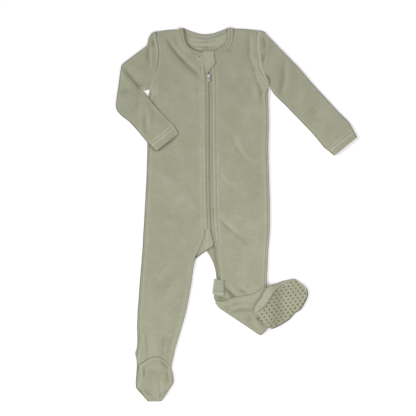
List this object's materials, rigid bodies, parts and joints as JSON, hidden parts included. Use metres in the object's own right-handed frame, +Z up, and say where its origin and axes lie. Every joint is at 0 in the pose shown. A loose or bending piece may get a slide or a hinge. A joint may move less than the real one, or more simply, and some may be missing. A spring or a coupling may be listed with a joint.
{
  "type": "footed baby sleepsuit",
  "caption": "Footed baby sleepsuit of fine rib knit, laid face up, with a zip from the neck down one leg, one sleeve bent and one leg folded up so that its sole shows.",
  "frame": {"origin": "on the flat underside of the back panel, on the middle of the body about 70 mm above the crotch", "axes": "+X to the wearer's left, +Y from the feet to the neck, +Z up from the surface that the garment lies on"},
  "size_m": [0.458, 0.7087, 0.0163],
  "materials": {
    "cloth": "soft matt knit",
    "sole_cloth": "soft matt knit with small grip dots",
    "zip_tape": "matt woven tape",
    "binding": "soft matt rib knit",
    "neck_tape": "matt tape",
    "coil": "dyed nylon coil",
    "metal": "satin nickel"
  },
  "bodies": {
    "garment": {"back": "cloth", "front_right": "cloth", "front_left": "cloth", "sleeve_right": "cloth", "sleeve_left": "cloth", "cuff_right": "cloth", "cuff_left": "cloth", "leg_left_turned": "cloth", "leg_left_folded_layers": "cloth", "foot_left_upper": "cloth", "foot_left_sole": "sole_cloth", "foot_right_sole": "sole_cloth", "foot_right_upper": "cloth", "gusset": "cloth", "zip_teeth": "coil", "zip_tape_right": "zip_tape", "zip_tape_left": "zip_tape", "zip_band_right": "cloth", "zip_band_left": "cloth", "zip_slider": "metal", "zip_guard": "cloth", "zip_end_patch": "cloth", "neckband_right": "binding", "neckband_left": "binding", "neckband_back": "binding", "neck_tape": "neck_tape"},
    "pull": {"zip_pull": "metal"}
  },
  "joints": [
    {"name": "pull_hinge", "type": "hinge", "parent": "garment", "child": "pull", "pos_m": [0.002, 0.261, 0.0082], "axis": [-1, 0, 0], "range_deg": [0, 160]}
  ]
}
